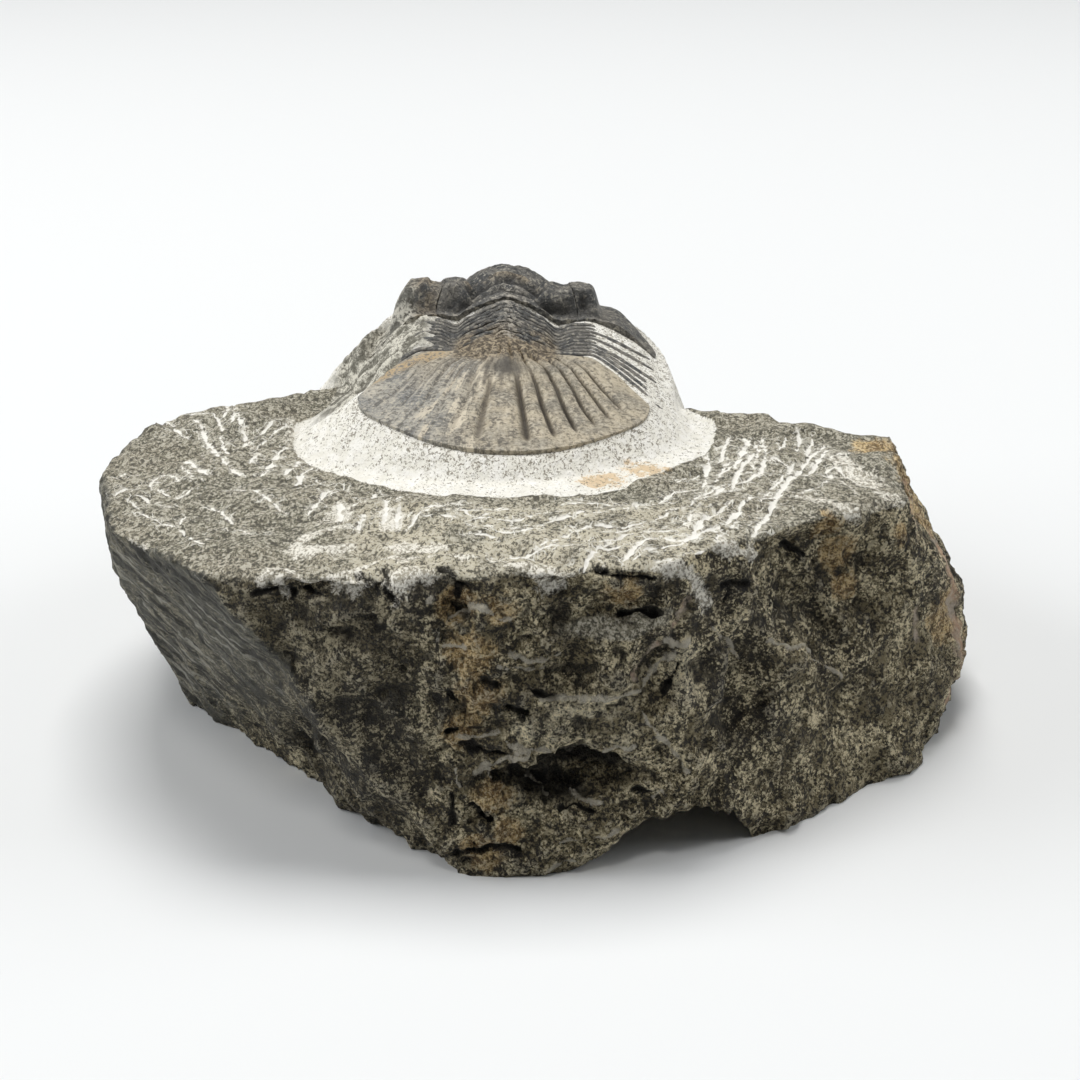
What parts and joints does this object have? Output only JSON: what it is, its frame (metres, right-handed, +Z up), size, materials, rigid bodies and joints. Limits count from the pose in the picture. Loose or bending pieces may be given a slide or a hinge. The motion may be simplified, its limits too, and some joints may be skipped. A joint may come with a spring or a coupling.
{
  "type": "trilobite fossil on rock matrix",
  "caption": "Prepared trilobite in relief, tail fan forward, standing on a mound of a broken grey limestone block with a flat base.",
  "frame": {"origin": "centre of the bounding box, on the plane the block stands on", "axes": "+Z up from the flat base, +Y along the fossil from its tail to its head, +X to its right seen from the tail"},
  "size_m": [0.1102, 0.1152, 0.0443],
  "materials": {
    "limestone": "rough broken dark limestone, with pale tool marks on top",
    "shell": "smooth dark grey calcite, satin",
    "tail_shell": "smooth grey brown calcite, satin"
  },
  "bodies": {
    "root": {"matrix": "limestone", "pygidium": "tail_shell", "thoracic_segment_01": "shell", "thoracic_segment_02": "shell", "thoracic_segment_03": "shell", "thoracic_segment_04": "shell", "thoracic_segment_05": "shell", "thoracic_segment_06": "shell", "thoracic_segment_07": "shell", "thoracic_segment_08": "shell", "thoracic_segment_09": "shell", "thoracic_segment_10": "shell", "cranidium": "shell", "right_free_cheek": "shell", "left_free_cheek": "shell"}
  },
  "joints": []
}
